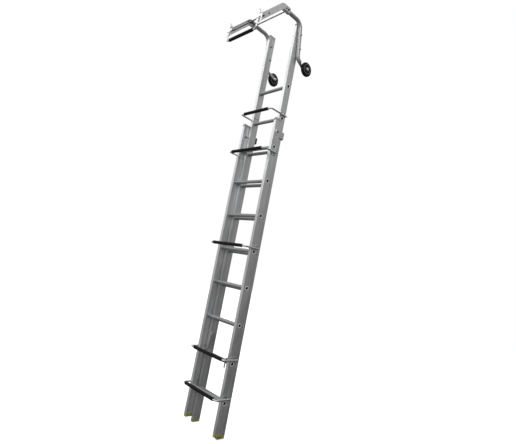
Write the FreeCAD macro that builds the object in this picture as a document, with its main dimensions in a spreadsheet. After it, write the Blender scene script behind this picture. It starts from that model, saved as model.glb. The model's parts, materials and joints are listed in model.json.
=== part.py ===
"""Two-section push-up roof ladder with a ridge hook, bearing bars and two roof wheels.

Frame: +Z runs up along the stiles, +X is to the right seen from the roof side, +Y points to the
climbing side. The origin is midway between the soles of the base section's feet, in the plane of
its rungs. All sizes are millimetres.
"""
import FreeCAD, Part
import math
import os
import Sketcher
from FreeCAD import Placement, Rotation, Vector

DOC = FreeCAD.newDocument("RoofLadder")
SHEET = DOC.addObject("Spreadsheet::Sheet", "Sizes")

SIZES = {
    # stiles: rectangular box section, 60 deep and 24 across
    "base_width": 360,
    "fly_width": 305,
    "stile_depth": 60,
    "stile_across": 24,
    "stile_wall": 2,
    "stile_round": 1.5,
    "base_length": 2172,
    "fly_bottom": -30,
    "fly_top": 2940,
    "fly_shift": 50,
    # plastic end plugs
    "plug_height": 20,
    "plug_lip": 0.1,
    "plug_play": 0.2,
    "plug_tongue": 34,
    "plug_round": 3,
    # rungs: round tube, swaged over both walls of the stiles
    "rung_radius": 12.5,
    "rung_bore": 10,
    "rung_pitch": 250,
    "base_first_rung": 210,
    "fly_first_rung": 196,
    "flare_radius": 15,
    "flare_thick": 1.5,
    # roof bearing bars: bent round rod with a rubber sleeve
    "rod_radius": 6,
    "rod_gap": 0.2,
    "rod_bend": 18,
    "sleeve_radius": 11.5,
    "base_sleeve_length": 314,
    "fly_sleeve_length": 250,
    "hook_sleeve_length": 250,
    "base_arm_length": 122,
    "fly_arm_length": 161,
    "hook_arm_length": 143,
    # saddle clips and fasteners
    "clip_width": 18,
    "clip_metal": 2.5,
    "clip_flange": 15,
    "clip_bolt_rise": 16,
    "small_bolt": 3,
    "large_bolt": 4,
    "guide_bolt": 5,
    # guide brackets at the top of the base section
    "guide_height": 2074,
    "guide_band": 50,
    "guide_metal": 2.5,
    "guide_offset": 3,
    "guide_reach": 100,
    "guide_lip": 132,
    # ridge hook
    "tube_radius": 15,
    "tube_wall": 2,
    "tube_bend": 60,
    "arm_bend": 42,
    "arm_flat": 7,
    "arm_half_height": 11.5,
    "leg_height": 40,
    "leg_depth": 25,
    "leg_metal": 2.5,
    "leg_bend": 36,
    "leg_outer": 185.4,
    "cross_rod": 5,
    # roof wheels
    "wheel_radius": 53,
    "wheel_across": 26,
    "rim_radius": 38,
    "axle_radius": 5,
    "axle_play": 0.05,
    # rung hooks on the fly section
    "hook_metal": 5,
    "hook_front": 21,
    "seat_play": 0.4,
}
for row, (alias, number) in enumerate(SIZES.items(), start=1):
    SHEET.set(f"A{row}", alias)
    SHEET.set(f"B{row}", str(number))
    SHEET.setAlias(f"B{row}", alias)
DOC.recompute()

BASE_RUNGS = 8
FLY_RUNGS = 10
LEFT, RIGHT = -1, 1
SIDES = {"left": LEFT, "right": RIGHT}
NODES = []


def size(text):
    """The value of an expression written with the sheet's aliases."""
    return float(SHEET.evalExpression(text))


def bind(thing, prop, text):
    """Tie a property to an expression of the sheet's aliases."""
    for alias in sorted(SIZES, key=len, reverse=True):
        text = text.replace(alias, f"<<{alias}>>")
    text = text.replace("<<", "Sizes.").replace(">>", "")
    thing.setExpression(prop, text)


def place(thing, x="0", y="0", z="0", turn=None):
    """Put a feature at a point given by three expressions, turned by an optional Rotation."""
    if turn is not None:
        thing.Placement = Placement(Vector(), turn)
    for axis, text in zip("xyz", (x, y, z)):
        bind(thing, f"Placement.Base.{axis}", text)
    return thing


def node(thing, name):
    """Name a finished sub-part; its label is its file name."""
    thing.Label = name
    NODES.append(thing)
    return thing


# ---------------------------------------------------------------- Part primitives

ALONG_X = Rotation(Vector(0, 1, 0), 90)
ALONG_Y = Rotation(Vector(1, 0, 0), -90)
ALONG_Z = Rotation()


def box(across, deep, tall, x, y, z):
    """A block whose lowest corner is at x, y, z."""
    block = DOC.addObject("Part::Box", "Block")
    bind(block, "Length", across)
    bind(block, "Width", deep)
    bind(block, "Height", tall)
    return place(block, x, y, z)


def cylinder(radius, length, x, y, z, turn=ALONG_X):
    """A round bar that starts at x, y, z and runs along +X unless turned."""
    bar = DOC.addObject("Part::Cylinder", "Bar")
    bind(bar, "Radius", radius)
    bind(bar, "Height", length)
    return place(bar, x, y, z, turn)


def hexagon(radius, length, x, y, z, turn=ALONG_X):
    """A hexagonal bolt head or nut that starts at x, y, z and runs along +X unless turned."""
    head = DOC.addObject("Part::Prism", "Hexagon")
    head.Polygon = 6
    bind(head, "Circumradius", radius)
    bind(head, "Height", length)
    return place(head, x, y, z, turn)


def fuse(parts):
    """One solid from several that meet."""
    joined = DOC.addObject("Part::MultiFuse", "Joined")
    joined.Shapes = parts
    joined.Refine = True
    return joined


def cut(body, tool):
    """One solid less another."""
    rest = DOC.addObject("Part::Cut", "Rest")
    rest.Base = body
    rest.Tool = tool
    return rest


def group(parts):
    """Separate solids kept together in one sub-part."""
    kept = DOC.addObject("Part::Compound", "Group")
    kept.Links = parts
    return kept


def bolt_and_nut(radius, head_at, grip, x_sign, y, z):
    """A hexagon bolt along X: its head at head_at, its shank through the grip, and its nut.

    x_sign is -1 when the bolt points to -X and +1 when it points to +X.
    """
    turn = ALONG_X if x_sign > 0 else Rotation(Vector(0, 1, 0), -90)
    back = f"({head_at}) - ({x_sign}) * {radius} * 1.3"
    nut_at = f"({head_at}) + ({x_sign}) * ({grip})"
    head = hexagon(f"{radius} * 1.9", f"{radius} * 1.3", back, y, z, turn)
    shank = cylinder(radius, f"({grip}) + {radius} * 2.2", head_at, y, z, turn)
    nut = hexagon(f"{radius} * 1.9", f"{radius} * 1.6", nut_at, y, z, turn)
    thread_hole = cylinder(radius, f"({grip}) + {radius} * 3", head_at, y, z, turn)
    return [fuse([head, shank]), cut(nut, thread_hole)]


# ---------------------------------------------------------------- PartDesign helpers

def new_body(name):
    return DOC.addObject("PartDesign::Body", name)


def new_sketch(body, role):
    """A sketch on one of the body's own origin planes."""
    sketch = body.newObject("Sketcher::SketchObject", "Outline")
    plane = [item for item in body.Origin.OriginFeatures if item.Role == role][0]
    sketch.AttachmentSupport = [(plane, "")]
    sketch.MapMode = "FlatFace"
    return sketch


def hold_point(sketch, geometry, point, corner):
    """Hold one point of the sketch at a corner given by two expressions."""
    for kind, text in zip(("DistanceX", "DistanceY"), corner):
        index = sketch.addConstraint(
            Sketcher.Constraint(kind, -1, 1, geometry, point, size(text)))
        bind(sketch, f"Constraints[{index}]", text)


def outline(sketch, corners):
    """A closed outline of straight edges through corners given as pairs of expressions."""
    points = [Vector(size(x), size(y), 0) for x, y in corners]
    count = len(points)
    first = sketch.GeometryCount
    for index in range(count):
        edge = Part.LineSegment(points[index], points[(index + 1) % count])
        sketch.addGeometry(edge, False)
    for index in range(count):
        following = first + (index + 1) % count
        sketch.addConstraint(
            Sketcher.Constraint("Coincident", first + index, 2, following, 1))
    for index, corner in enumerate(corners):
        hold_point(sketch, first + index, 1, corner)


def rectangle(sketch, wide, tall):
    """A rectangle centred on the sketch's origin."""
    half_wide = f"({wide}) / 2"
    half_tall = f"({tall}) / 2"
    outline(sketch, [(f"-{half_wide}", f"-{half_tall}"), (half_wide, f"-{half_tall}"),
                     (half_wide, half_tall), (f"-{half_wide}", half_tall)])


def circle(sketch, x, y, radius):
    """A circle whose centre and radius are expressions."""
    centre = Vector(size(x), size(y), 0)
    index = sketch.addGeometry(Part.Circle(centre, Vector(0, 0, 1), size(radius)), False)
    hold_point(sketch, index, 3, (x, y))
    ring = sketch.addConstraint(Sketcher.Constraint("Radius", index, size(radius)))
    bind(sketch, f"Constraints[{ring}]", radius)


def pad(body, sketch, length, midplane=False):
    feature = body.newObject("PartDesign::Pad", "Pad")
    feature.Profile = sketch
    feature.Midplane = midplane
    bind(feature, "Length", length)
    DOC.recompute()
    return feature


def pocket_through(body, sketch):
    """Cut the sketch right through, both ways, and make sure that metal went."""
    before = body.Shape.Volume
    feature = body.newObject("PartDesign::Pocket", "Pocket")
    feature.Profile = sketch
    feature.Type = 1
    feature.Midplane = True
    DOC.recompute()
    if body.Shape.Volume >= before:
        raise RuntimeError(f"{body.Name}: the pocket cut nothing")
    return feature


def revolve(body, sketch):
    """Turn the sketch about its horizontal axis."""
    feature = body.newObject("PartDesign::Revolution", "Revolution")
    feature.Profile = sketch
    feature.ReferenceAxis = (sketch, ["H_Axis"])
    feature.Angle = 360
    DOC.recompute()
    return feature


def round_edges(body, wanted, radius):
    """Fillet the edges of the body's tip that the test picks."""
    tip = body.Tip
    names = [f"Edge{i}" for i, edge in enumerate(tip.Shape.Edges, start=1) if wanted(edge)]
    feature = body.newObject("PartDesign::Fillet", "Fillet")
    feature.Base = (tip, names)
    bind(feature, "Radius", radius)
    DOC.recompute()
    return feature


# ---------------------------------------------------------------- places shared by several pieces

BASE_CENTRE = "(base_width / 2 - stile_across / 2)"
FLY_CENTRE = "(fly_width / 2 - stile_across / 2)"
BASE_OUTER = "base_width / 2"
BASE_INNER = "(base_width / 2 - stile_across)"
FLY_OUTER = "fly_width / 2"
FLY_INNER = "(fly_width / 2 - stile_across)"
FLY_BACK = "(fly_shift + stile_depth / 2)"

# Bearing bars: height of the rod, place of its sleeve along Y, how far the sleeve sits off the
# middle, and which way the flanges of its clips go.
BASE_BARS = [("236", "-86", "0", 1), ("486", "-84", "10", 1), ("1234", "-96", "0", 1),
             ("1922", "-96", "0", -1)]
BASE_CLIP_DEPTHS = ("-17", "12")
FLY_BAR_HEIGHT = "2222"
FLY_BAR_SLEEVE = "-78"
FLY_CLIP_DEPTHS = ("34", "62")

# Ridge hook: the wheel's centre, the foot and head of the straight tube, and the leg.
WHEEL_DEPTH, WHEEL_HEIGHT = 178.0, 2640.0
TUBE_FOOT = Vector(0, 78, 2672)
TUBE_HEAD = Vector(0, 38, 2945)
TUBE_END_DEPTH = -150.0
APEX_DEPTH, APEX_HEIGHT = -117.0, 2945.0
APEX_BOLT_DEPTH = -140.0
LEG_CORNER = Vector(0, -169.7, 2945)
LEG_END = Vector(0, -338.8, 2754.5)
LEG_BOLT = Vector(0, -286.6, 2813.3)
LEG_ROD = Vector(0, -330, 2765)
TUBE_BOLT_HEIGHTS = (2744.0, 2850.0)
HOOK_BAR_DEPTH = "-348"
HOOK_BAR_HEIGHT = "2672"
HOOK_ARM_X = "156"
HOOK_CLIP_BOLTS = (2755.0, 2785.0)
HOOK_CLIP_SPREAD = (-15.5, 15.5)

# Flat hooks inside the fly stiles sit over the base section's second rung.
HOOKED_RUNG = "(base_first_rung + rung_pitch)"
HOOK_PLATE_BOLTS = [("fly_shift + 8", f"{HOOKED_RUNG} + 52"), ("fly_shift - 4", f"{HOOKED_RUNG} + 112")]


def tube_point(height):
    """The point of the hook tube's straight run at a given height."""
    share = (height - TUBE_FOOT.z) / (TUBE_HEAD.z - TUBE_FOOT.z)
    return TUBE_FOOT + (TUBE_HEAD - TUBE_FOOT) * share


# ---------------------------------------------------------------- stiles and plugs

def stile(name, side, centre, shift, bottom, length, first_rung, rungs, bolt_holes):
    """A rectangular box section, drilled for its rungs and bolts."""
    body = new_body(name)
    section = new_sketch(body, "XY_Plane")
    rectangle(section, "stile_across", "stile_depth")
    rectangle(section, "stile_across - 2 * stile_wall", "stile_depth - 2 * stile_wall")
    pad(body, section, length)
    half_across = size("stile_across") / 2

    def outer_corner(edge):
        middle = edge.CenterOfMass
        return edge.Length > size(length) * 0.9 and abs(abs(middle.x) - half_across) < 0.01

    round_edges(body, outer_corner, "stile_round")
    rung_hole = new_sketch(body, "YZ_Plane")
    circle(rung_hole, "0", f"({first_rung}) - ({bottom})", "rung_radius")
    first_hole = pocket_through(body, rung_hole)
    row = body.newObject("PartDesign::LinearPattern", "RungHoles")
    row.Originals = [first_hole]
    row.Direction = (rung_hole, ["V_Axis"])
    bind(row, "Length", f"rung_pitch * {rungs - 1}")
    row.Occurrences = rungs
    body.Tip = row
    DOC.recompute()
    bolts = new_sketch(body, "YZ_Plane")
    for depth, height, radius in bolt_holes:
        circle(bolts, f"({depth}) - ({shift})", f"({height}) - ({bottom})", radius)
    pocket_through(body, bolts)
    place(body, f"{side} * {centre}", shift, bottom)
    return node(body, name)


def plug(name, side, centre, shift, sole, up):
    """A moulded end plug: a rounded block outside the stile and a tongue inside it.

    up is +1 for a foot, whose tongue points up, and -1 for a cap.
    """
    body = new_body(name)
    block = new_sketch(body, "XY_Plane")
    rectangle(block, "stile_across + 2 * plug_lip", "stile_depth + 2 * plug_lip")
    pad(body, block, "plug_height")

    def low_or_upright(edge):
        return min(vertex.Z for vertex in edge.Vertexes) < 0.01

    round_edges(body, low_or_upright, "plug_round")
    tongue = new_sketch(body, "XY_Plane")
    rectangle(tongue, "stile_across - 2 * stile_wall - 2 * plug_play",
              "stile_depth - 2 * stile_wall - 2 * plug_play")
    core = pad(body, tongue, "plug_height + plug_tongue")
    body.Tip = core
    turn = ALONG_Z if up > 0 else Rotation(Vector(0, 1, 0), 180)
    return place(body, f"{side} * {centre}", shift, sole, turn)


def make_stiles():
    base_holes = [("5", "guide_height", "guide_bolt")]
    for height, _, _, flange in BASE_BARS:
        for depth in BASE_CLIP_DEPTHS:
            base_holes.append((depth, f"{height} + {flange} * clip_bolt_rise", "small_bolt"))
    fly_holes = [(depth, f"{FLY_BAR_HEIGHT} + clip_bolt_rise", "small_bolt")
                 for depth in FLY_CLIP_DEPTHS]
    for height in TUBE_BOLT_HEIGHTS:
        fly_holes.append((str(tube_point(height).y), str(height), "large_bolt"))
    for depth, height in HOOK_PLATE_BOLTS:
        fly_holes.append((depth, height, "small_bolt"))
    for label, side in SIDES.items():
        stile(f"base_stile_{label}", side, BASE_CENTRE, "0", "plug_height",
              "base_length - 2 * plug_height", "base_first_rung", BASE_RUNGS, base_holes)
        stile(f"fly_stile_{label}", side, FLY_CENTRE, "fly_shift", "fly_bottom + plug_height",
              "fly_top - fly_bottom - 2 * plug_height", "fly_first_rung", FLY_RUNGS, fly_holes)


def make_plugs():
    """Each pair of identical plugs is one sub-part of two solids."""
    rows = [("base_feet", BASE_CENTRE, "0", "0", 1),
            ("base_caps", BASE_CENTRE, "0", "base_length", -1),
            ("fly_feet", FLY_CENTRE, "fly_shift", "fly_bottom", 1),
            ("fly_caps", FLY_CENTRE, "fly_shift", "fly_top", -1)]
    for name, centre, shift, sole, up in rows:
        pair = [plug(f"{name}_{label}", side, centre, shift, sole, up)
                for label, side in SIDES.items()]
        node(group(pair), name)


# ---------------------------------------------------------------- rungs

def rung(name, width, shift, height):
    """A round tube through both stiles, with a flared lip outside and a bead inside each."""
    inner = f"({width} / 2 - stile_across)"
    lip = f"({width} / 2 + flare_thick)"
    tube = cylinder("rung_radius", f"2 * {lip}", f"-{lip}", shift, height)
    collars = []
    for start in (f"{width} / 2", f"-{lip}", f"{inner} - flare_thick", f"-{inner}"):
        collars.append(cylinder("flare_radius", "flare_thick", start, shift, height))
    bore = cylinder("rung_bore", f"2 * {lip} + 2", f"-{lip} - 1", shift, height)
    return node(cut(fuse([tube] + collars), bore), name)


def make_rungs():
    for index in range(BASE_RUNGS):
        rung(f"base_rung_{index + 1}", "base_width", "0",
             f"base_first_rung + {index} * rung_pitch")
    for index in range(FLY_RUNGS):
        rung(f"fly_rung_{index + 1}", "fly_width", "fly_shift",
             f"fly_first_rung + {index} * rung_pitch")


# ---------------------------------------------------------------- bearing bars

def quarter_bend(centre, start_turn):
    """A quarter of a ring of rod, in the plane that start_turn lays it in."""
    bend = DOC.addObject("Part::Torus", "Bend")
    bind(bend, "Radius1", "rod_bend")
    bind(bend, "Radius2", "rod_radius")
    bend.Angle3 = 90
    return place(bend, *centre, turn=start_turn)


def lying_bar(name, arm_x, sleeve_y, height, arm_length):
    """A U of round rod whose arms run along +Y: a cross bar, two bends and two arms."""
    cross = cylinder("rod_radius", f"2 * ({arm_x} - rod_bend)", f"-({arm_x} - rod_bend)",
                     sleeve_y, height)
    pieces = [cross]
    for side, turn in ((RIGHT, Rotation(Vector(0, 0, 1), -90)),
                       (LEFT, Rotation(Vector(0, 0, 1), 180))):
        centre = (f"{side} * ({arm_x} - rod_bend)", f"{sleeve_y} + rod_bend", height)
        pieces.append(quarter_bend(centre, turn))
        pieces.append(cylinder("rod_radius", f"{arm_length} - rod_bend", f"{side} * ({arm_x})",
                               f"{sleeve_y} + rod_bend", height, ALONG_Y))
    return node(fuse(pieces), name)


def hanging_bar(name):
    """The hook's own bar: the same U with its arms standing up."""
    cross = cylinder("rod_radius", f"2 * ({HOOK_ARM_X} - rod_bend)",
                     f"-({HOOK_ARM_X} - rod_bend)", HOOK_BAR_DEPTH, HOOK_BAR_HEIGHT)
    pieces = [cross]
    stand = Rotation(Vector(1, 0, 0), 90)
    for side, turn in ((RIGHT, stand * Rotation(Vector(0, 0, 1), -90)),
                       (LEFT, stand * Rotation(Vector(0, 0, 1), 180))):
        centre = (f"{side} * ({HOOK_ARM_X} - rod_bend)", HOOK_BAR_DEPTH,
                  f"{HOOK_BAR_HEIGHT} + rod_bend")
        pieces.append(quarter_bend(centre, turn))
        pieces.append(cylinder("rod_radius", "hook_arm_length - rod_bend",
                               f"{side} * {HOOK_ARM_X}", HOOK_BAR_DEPTH,
                               f"{HOOK_BAR_HEIGHT} + rod_bend", ALONG_Z))
    return node(fuse(pieces), name)


def sleeve(name, length, middle, depth, height):
    """A rubber tube pushed over the cross bar."""
    start = f"{middle} - {length} / 2"
    outer = cylinder("sleeve_radius", length, start, depth, height)
    inner = cylinder("rod_radius", f"{length} + 2", f"{start} - 1", depth, height)
    return node(cut(outer, inner), name)


def saddle_clip(side, face, depth, height, flange):
    """A pressed strap over an arm lying against a stile, with one flange that is bolted down.

    flange is +1 when it lies above the rod and -1 when it lies below it.
    """
    reach = "(rod_radius + rod_gap)"
    outer = f"({reach} + clip_metal)"
    face_x = f"{side} * ({face})"
    rod_x = f"{side} * ({face} + {reach})"
    start = f"{depth} - clip_width / 2"
    cap = cylinder(outer, "clip_width", rod_x, start, height, ALONG_Y)
    low_x = face_x if side > 0 else rod_x
    cheeks = box(reach, "clip_width", f"2 * {outer}", low_x, start, f"{height} - {outer}")
    foot_x = face_x if side > 0 else f"{face_x} - clip_metal"
    if flange > 0:
        foot_z = f"{height} + {reach}"
    else:
        foot_z = f"{height} - {reach} - clip_flange - clip_metal"
    foot = box("clip_metal", "clip_width", "clip_flange + clip_metal", foot_x, start, foot_z)
    channel = cylinder(reach, "clip_width + 2", rod_x, f"{start} - 1", height, ALONG_Y)
    slot_x = f"{face_x} - 0.1" if side > 0 else rod_x
    slot = box(f"{reach} + 0.1", "clip_width + 2", f"2 * {reach}", slot_x, f"{start} - 1",
               f"{height} - {reach}")
    bolt_hole = cylinder("small_bolt", "10", f"{face_x} - 5", depth,
                         f"{height} + {flange} * clip_bolt_rise")
    behind_x = f"{face_x} - 20" if side > 0 else face_x
    behind = box("20", "clip_width + 2", f"4 * {outer}", behind_x, f"{start} - 1",
                 f"{height} - 2 * {outer}")
    return cut(fuse([cap, cheeks, foot]), fuse([channel, slot, bolt_hole, behind]))


def make_base_bars():
    """Four bars with their sleeves and clips; the bolts are handed back."""
    clips = []
    bolts = []
    arm_x = f"({BASE_OUTER} + rod_radius + rod_gap)"
    for index, (height, sleeve_y, middle, flange) in enumerate(BASE_BARS, start=1):
        lying_bar(f"base_bar_{index}", arm_x, sleeve_y, height, "base_arm_length")
        sleeve(f"base_bar_sleeve_{index}", "base_sleeve_length", middle, sleeve_y, height)
        for side in SIDES.values():
            for depth in BASE_CLIP_DEPTHS:
                clips.append(saddle_clip(side, BASE_OUTER, depth, height, flange))
                bolts += bolt_and_nut("small_bolt", f"{side} * ({BASE_OUTER} + clip_metal)",
                                      "stile_across + clip_metal", -side, depth,
                                      f"{height} + {flange} * clip_bolt_rise")
    node(group(clips), "base_bar_clips")
    return bolts


def make_fly_bar():
    arm_x = f"({FLY_OUTER} + rod_radius + rod_gap)"
    lying_bar("fly_bar", arm_x, FLY_BAR_SLEEVE, FLY_BAR_HEIGHT, "fly_arm_length")
    sleeve("fly_bar_sleeve", "fly_sleeve_length", "0", FLY_BAR_SLEEVE, FLY_BAR_HEIGHT)
    clips = [saddle_clip(side, FLY_OUTER, depth, FLY_BAR_HEIGHT, 1)
             for side in SIDES.values() for depth in FLY_CLIP_DEPTHS]
    node(group(clips), "fly_bar_clips")


# ---------------------------------------------------------------- guides at the top of the base

def guide_bracket(name, side):
    """A bent strip bolted inside the base stile that passes round behind the fly stile."""
    inner = BASE_INNER
    step = "guide_offset"
    metal = "guide_metal"
    back = "guide_reach"
    corners = [(f"{inner} - {metal}", "-20"), (inner, "-20"), (inner, "30.5"),
               (f"{inner} + {step}", "33.5"), (f"{inner} + {step}", f"{back} - 6"),
               (f"{inner} + {step} - 6", back), ("guide_lip", back),
               ("guide_lip", f"{back} - {metal}"),
               (f"{inner} + {step} - 7", f"{back} - {metal}"),
               (f"{inner} + {step} - {metal}", f"{back} - 7"),
               (f"{inner} + {step} - {metal}", "34.5"), (f"{inner} - {metal}", "31.5")]
    body = new_body(name)
    strip = new_sketch(body, "XY_Plane")
    outline(strip, [(f"{side} * ({x})", y) for x, y in corners])
    pad(body, strip, "guide_band", midplane=True)
    hole = new_sketch(body, "YZ_Plane")
    circle(hole, "5", "0", "guide_bolt")
    pocket_through(body, hole)
    place(body, "0", "0", "guide_height")
    return node(body, name)


def guide_plate(side):
    """An oval pressed washer plate on the outside of the base stile."""
    face_x = f"{side} * ({BASE_OUTER})"
    low_x = face_x if side > 0 else f"{face_x} - 3"
    middle = box("3", "34", "16", low_x, "-12", "guide_height - 8")
    ends = [cylinder("17", "3", low_x, "5", f"guide_height + {rise}") for rise in ("8", "-8")]
    hole = cylinder("guide_bolt", "5", f"{low_x} - 1", "5", "guide_height")
    return cut(fuse([middle] + ends), hole)


def make_guides():
    """Brackets, pads and washer plates of both sides; the bolts are handed back."""
    for label, side in SIDES.items():
        guide_bracket(f"guide_bracket_{label}", side)
    pads = []
    plates = []
    bolts = []
    for side in SIDES.values():
        low_x = "guide_lip" if side > 0 else "-guide_lip - 20"
        pads.append(box("20", f"guide_reach - guide_metal - {FLY_BACK} - 0.5", "42", low_x,
                        f"{FLY_BACK} + 0.5", "guide_height - 21"))
        plates.append(guide_plate(side))
        bolts += bolt_and_nut("guide_bolt", f"{side} * ({BASE_OUTER} + 3)",
                              "stile_across + guide_metal + 3", -side, "5", "guide_height")
    node(group(pads), "guide_pads")
    node(group(plates), "guide_plates")
    return bolts


# ---------------------------------------------------------------- ridge hook

def ring_sector(centre, radius, pipe, start, sweep, x):
    """Part of a ring in a plane of constant X, from the start angle through the sweep."""
    bend = DOC.addObject("Part::Torus", "Bend")
    bind(bend, "Radius1", radius)
    bind(bend, "Radius2", pipe)
    bend.Angle3 = sweep
    upright = Rotation(Vector(1, 0, 0), Vector(0, 1, 0), Vector(0, 0, 1), "XYZ")
    turn = Rotation(Vector(0, 1, 0), Vector(0, 0, 1), Vector(1, 0, 0), "ZXY") * upright
    bend.Placement = Placement(Vector(0, centre.y, centre.z),
                               turn * Rotation(Vector(0, 0, 1), start))
    bind(bend, "Placement.Base.x", x)
    return bend


def straight_run(start, end, pipe, x):
    """A round bar between two points of a plane of constant X."""
    bar = DOC.addObject("Part::Cylinder", "Run")
    bind(bar, "Radius", pipe)
    bar.Height = (end - start).Length
    turn = Rotation(Vector(0, 0, 1), end - start)
    bar.Placement = Placement(start, turn)
    bind(bar, "Placement.Base.x", x)
    return bar


def corner_arc(before, corner, after, radius):
    """Centre, tangent points, start angle and sweep of the arc that rounds a corner."""
    to_before = (before - corner).normalize()
    to_after = (after - corner).normalize()
    half = to_before.getAngle(to_after) / 2
    reach = radius / math.tan(half)
    first = corner + to_before * reach
    last = corner + to_after * reach
    middle = (to_before + to_after).normalize()
    centre = corner + middle * (radius / math.sin(half))
    angles = [math.degrees(math.atan2(p.z - centre.z, p.y - centre.y)) for p in (first, last)]
    sweep = (angles[1] - angles[0] + 180) % 360 - 180
    start = angles[0] if sweep > 0 else angles[1]
    return centre, first, last, start, abs(sweep)


def bent_pipe(points, radii, pipe, x):
    """Straight runs through the points, rounded at each inner one, as one solid."""
    pieces = []
    start = points[0]
    for index in range(1, len(points) - 1):
        name, radius = radii[index - 1]
        centre, first, last, angle, sweep = corner_arc(
            points[index - 1], points[index], points[index + 1], radius)
        pieces.append(straight_run(start, first, pipe, x))
        pieces.append(ring_sector(centre, name, pipe, angle, sweep, x))
        start = last
    pieces.append(straight_run(start, points[-1], pipe, x))
    return fuse(pieces)


def wheel_arm(side, neck, x):
    """The tube's lower end: flattened against the fly side and rounded round the axle."""
    flat_inner = f"({FLY_OUTER} + 0.4)"
    low_x = f"{side} * {flat_inner}" if side > 0 else f"-{flat_inner} - arm_flat"
    centre = Vector(0, WHEEL_DEPTH, WHEEL_HEIGHT)
    along = centre - neck
    eye = cylinder("arm_half_height", "arm_flat", low_x, str(centre.y), str(centre.z))
    blade = DOC.addObject("Part::Box", "Blade")
    bind(blade, "Width", "arm_flat")
    bind(blade, "Height", "2 * arm_half_height")
    blade.Length = along.Length - 26
    tilt = math.degrees(math.atan2(along.z, along.y))
    turn = Rotation(Vector(1, 0, 0), tilt) * Rotation(Vector(0, 0, 1), 90)
    unit = Vector(along).normalize()
    across = Vector(0, -unit.z, unit.y)
    corner = neck + unit * 26 - across * size("arm_half_height")
    blade.Placement = Placement(corner, turn)
    far_x = f"{side} * {flat_inner} + arm_flat" if side > 0 else f"-{flat_inner}"
    bind(blade, "Placement.Base.x", far_x)
    ring = DOC.addObject("Part::Circle", "NeckRing")
    bind(ring, "Radius", "tube_radius")
    facing = Rotation(Vector(0, 0, 1), unit)
    ring.Placement = Placement(neck, facing)
    bind(ring, "Placement.Base.x", x)
    oval = DOC.addObject("Part::Ellipse", "BladeOval")
    bind(oval, "MajorRadius", "arm_half_height - 0.5")
    bind(oval, "MinorRadius", "arm_flat / 2 - 0.05")
    oval.Placement = Placement(neck + unit * 27, Rotation(across, Vector(-1, 0, 0), unit, "ZXY"))
    bind(oval, "Placement.Base.x", f"{side} * ({flat_inner} + arm_flat / 2)")
    DOC.recompute()
    squeeze = DOC.addObject("Part::Loft", "Squeeze")
    squeeze.Sections = [ring, oval]
    squeeze.Solid = True
    squeeze.Ruled = False
    return [eye, blade, squeeze]


def hook_tube(name, side):
    """A bent tube up the outside of the fly stile, over to the apex, and down to the wheel."""
    x = f"{side} * ({FLY_OUTER} + tube_radius + 0.2)"
    centre = Vector(0, WHEEL_DEPTH, WHEEL_HEIGHT)
    bend_end = corner_arc(TUBE_HEAD, TUBE_FOOT, centre, size("arm_bend"))[2]
    neck = bend_end + (centre - bend_end).normalize() * 3
    end = Vector(0, TUBE_END_DEPTH, TUBE_HEAD.z)
    points = [neck, TUBE_FOOT, TUBE_HEAD, end]
    radii = [("arm_bend", size("arm_bend")), ("tube_bend", size("tube_bend"))]
    skin = bent_pipe(points, radii, "tube_radius", x)
    hollow_start = bend_end + (centre - bend_end).normalize() * 2
    hollow = bent_pipe([hollow_start, TUBE_FOOT, TUBE_HEAD, end - Vector(0, 1, 0)], radii,
                       "tube_radius - tube_wall", x)
    body = fuse([skin] + wheel_arm(side, neck, x))
    holes = [cylinder("axle_radius", "80", f"{x} - 40", str(centre.y), str(centre.z)),
             cylinder("cross_rod", "80", f"{x} - 40", str(APEX_DEPTH), str(APEX_HEIGHT)),
             cylinder("large_bolt", "80", f"{x} - 40", str(APEX_BOLT_DEPTH),
                      str(APEX_HEIGHT))]
    for height in TUBE_BOLT_HEIGHTS:
        point = tube_point(height)
        holes.append(cylinder("large_bolt", "80", f"{x} - 40", str(point.y), str(point.z)))
    return node(cut(body, fuse([hollow] + holes)), name)


def leg_outline(inset, start, end):
    """The leg seen from the side, as a face: a straight lead, a bend and a long slope."""
    half = size("leg_height") / 2 - inset
    centre, first, last, _, _ = corner_arc(start, LEG_CORNER, end, size("leg_bend"))
    lead = (LEG_CORNER - start).normalize()
    slope = (end - LEG_CORNER).normalize()
    lead_up = Vector(0, lead.z, -lead.y)
    slope_up = Vector(0, slope.z, -slope.y)
    bend_up = ((first - centre).normalize() + (last - centre).normalize()).normalize()
    outer = size("leg_bend") + half
    inner = size("leg_bend") - half
    edges = [Part.LineSegment(start + lead_up * half, first + lead_up * half).toShape(),
             Part.Arc(first + lead_up * half, centre + bend_up * outer,
                      last + slope_up * half).toShape(),
             Part.LineSegment(last + slope_up * half, end + slope_up * half).toShape(),
             Part.LineSegment(end + slope_up * half, end - slope_up * half).toShape(),
             Part.LineSegment(end - slope_up * half, last - slope_up * half).toShape(),
             Part.Arc(last - slope_up * half, centre + bend_up * inner,
                      first - lead_up * half).toShape(),
             Part.LineSegment(first - lead_up * half, start - lead_up * half).toShape(),
             Part.LineSegment(start - lead_up * half, start + lead_up * half).toShape()]
    return Part.Face(Part.Wire(Part.__sortEdges__(edges)))


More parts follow.
